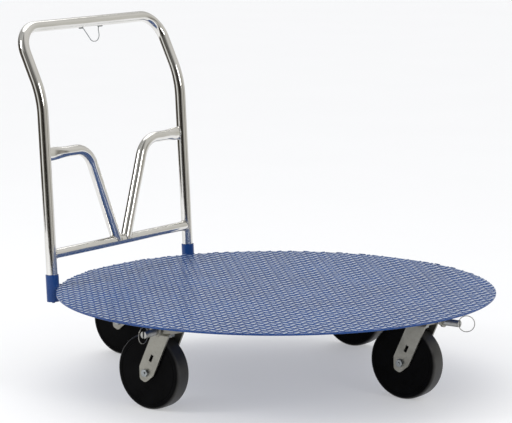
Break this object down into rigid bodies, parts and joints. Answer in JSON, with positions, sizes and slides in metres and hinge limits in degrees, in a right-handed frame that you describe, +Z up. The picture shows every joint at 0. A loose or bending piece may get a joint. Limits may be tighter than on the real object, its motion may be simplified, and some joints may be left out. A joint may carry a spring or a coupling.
{
  "type": "round platform cart",
  "caption": "Round steel platform cart: tread-plate deck on swivel casters with pull-ring swivel locks, and a lift-out tubular push handle with a crossbar and bent braces.",
  "frame": {"origin": "on the floor under the middle of the cart's bounding box, 26 mm behind the deck's centre", "axes": "+X forwards, away from the push handle; +Z up; +Y to the left"},
  "size_m": [1.3082, 1.2383, 0.9818],
  "materials": {
    "blue_paint": "glossy blue enamel on rolled tread plate",
    "chrome": "bright chrome plate on bent steel tube",
    "zinc_plate": "satin zinc-plated pressed steel",
    "bright_zinc": "bright zinc-plated hardware",
    "wheel_black": "glossy hard black moulded wheel"
  },
  "bodies": {
    "root": {"deck_plate": "blue_paint", "cross_channel_long": "blue_paint", "cross_channel_halves": "blue_paint", "caster_pads": "blue_paint", "plate_bolts": "bright_zinc", "kingpins": "bright_zinc", "kingpin_nuts": "bright_zinc", "swivel_balls": "bright_zinc", "lock_springs": "bright_zinc", "handle_socket_left": "blue_paint", "handle_socket_right": "blue_paint", "socket_stops": "blue_paint", "top_plate_front": "zinc_plate", "lock_barrel_front": "bright_zinc", "top_plate_left": "zinc_plate", "lock_barrel_left": "bright_zinc", "top_plate_back": "zinc_plate", "lock_barrel_back": "bright_zinc", "top_plate_right": "zinc_plate", "lock_barrel_right": "bright_zinc"},
    "handle": {"handle_tube": "chrome", "handle_crossbar": "chrome", "handle_brace_left": "chrome", "handle_brace_right": "chrome", "wire_bail": "chrome", "bail_tabs": "chrome"},
    "fork_front": {"fork_front": "zinc_plate", "axle_bolt_front": "bright_zinc", "axle_nut_front": "bright_zinc", "axle_sleeve_front": "bright_zinc"},
    "wheel_front": {"wheel_front": "wheel_black", "roller_bearing_front": "bright_zinc"},
    "lock_front": {"lock_plunger_front": "bright_zinc", "pull_ring_front": "bright_zinc"},
    "fork_left": {"fork_left": "zinc_plate", "axle_bolt_left": "bright_zinc", "axle_nut_left": "bright_zinc", "axle_sleeve_left": "bright_zinc"},
    "wheel_left": {"wheel_left": "wheel_black", "roller_bearing_left": "bright_zinc"},
    "lock_left": {"lock_plunger_left": "bright_zinc", "pull_ring_left": "bright_zinc"},
    "fork_back": {"fork_back": "zinc_plate", "axle_bolt_back": "bright_zinc", "axle_nut_back": "bright_zinc", "axle_sleeve_back": "bright_zinc"},
    "wheel_back": {"wheel_back": "wheel_black", "roller_bearing_back": "bright_zinc"},
    "lock_back": {"lock_plunger_back": "bright_zinc", "pull_ring_back": "bright_zinc"},
    "fork_right": {"fork_right": "zinc_plate", "axle_bolt_right": "bright_zinc", "axle_nut_right": "bright_zinc", "axle_sleeve_right": "bright_zinc"},
    "wheel_right": {"wheel_right": "wheel_black", "roller_bearing_right": "bright_zinc"},
    "lock_right": {"lock_plunger_right": "bright_zinc", "pull_ring_right": "bright_zinc"}
  },
  "joints": [
    {"name": "handle_lift", "type": "slide", "parent": "root", "child": "handle", "axis": [-0.0532, 0, 0.9986], "range_m": [0, 0.085]},
    {"name": "swivel_front", "type": "hinge", "parent": "root", "child": "fork_front", "pos_m": [0.51044, 0, 0.21], "axis": [0, 0, 1], "continuous": true},
    {"name": "roll_front", "type": "hinge", "parent": "fork_front", "child": "wheel_front", "pos_m": [0.45694, 0, 0.1016], "axis": [0, 1, 0], "continuous": true},
    {"name": "lock_pull_front", "type": "slide", "parent": "root", "child": "lock_front", "axis": [1, 0, 0], "range_m": [-0.0206, 0], "deforming": ["lock_springs"]},
    {"name": "swivel_left", "type": "hinge", "parent": "root", "child": "fork_left", "pos_m": [0.02614, 0.4843, 0.21], "axis": [0, 0, 1], "continuous": true},
    {"name": "roll_left", "type": "hinge", "parent": "fork_left", "child": "wheel_left", "pos_m": [-0.02736, 0.4843, 0.1016], "axis": [0, 1, 0], "continuous": true},
    {"name": "lock_pull_left", "type": "slide", "parent": "root", "child": "lock_left", "axis": [0, 1, 0], "range_m": [-0.0066, 0.014], "deforming": ["lock_springs"]},
    {"name": "swivel_back", "type": "hinge", "parent": "root", "child": "fork_back", "pos_m": [-0.45816, 0, 0.21], "axis": [0, 0, 1], "continuous": true},
    {"name": "roll_back", "type": "hinge", "parent": "fork_back", "child": "wheel_back", "pos_m": [-0.51166, 0, 0.1016], "axis": [0, 1, 0], "continuous": true},
    {"name": "lock_pull_back", "type": "slide", "parent": "root", "child": "lock_back", "axis": [-1, 0, 0], "range_m": [-0.0206, 0], "deforming": ["lock_springs"]},
    {"name": "swivel_right", "type": "hinge", "parent": "root", "child": "fork_right", "pos_m": [0.02614, -0.4843, 0.21], "axis": [0, 0, 1], "continuous": true},
    {"name": "roll_right", "type": "hinge", "parent": "fork_right", "child": "wheel_right", "pos_m": [-0.02736, -0.4843, 0.1016], "axis": [0, 1, 0], "continuous": true},
    {"name": "lock_pull_right", "type": "slide", "parent": "root", "child": "lock_right", "axis": [0, -1, 0], "range_m": [-0.0066, 0.014], "deforming": ["lock_springs"]}
  ]
}
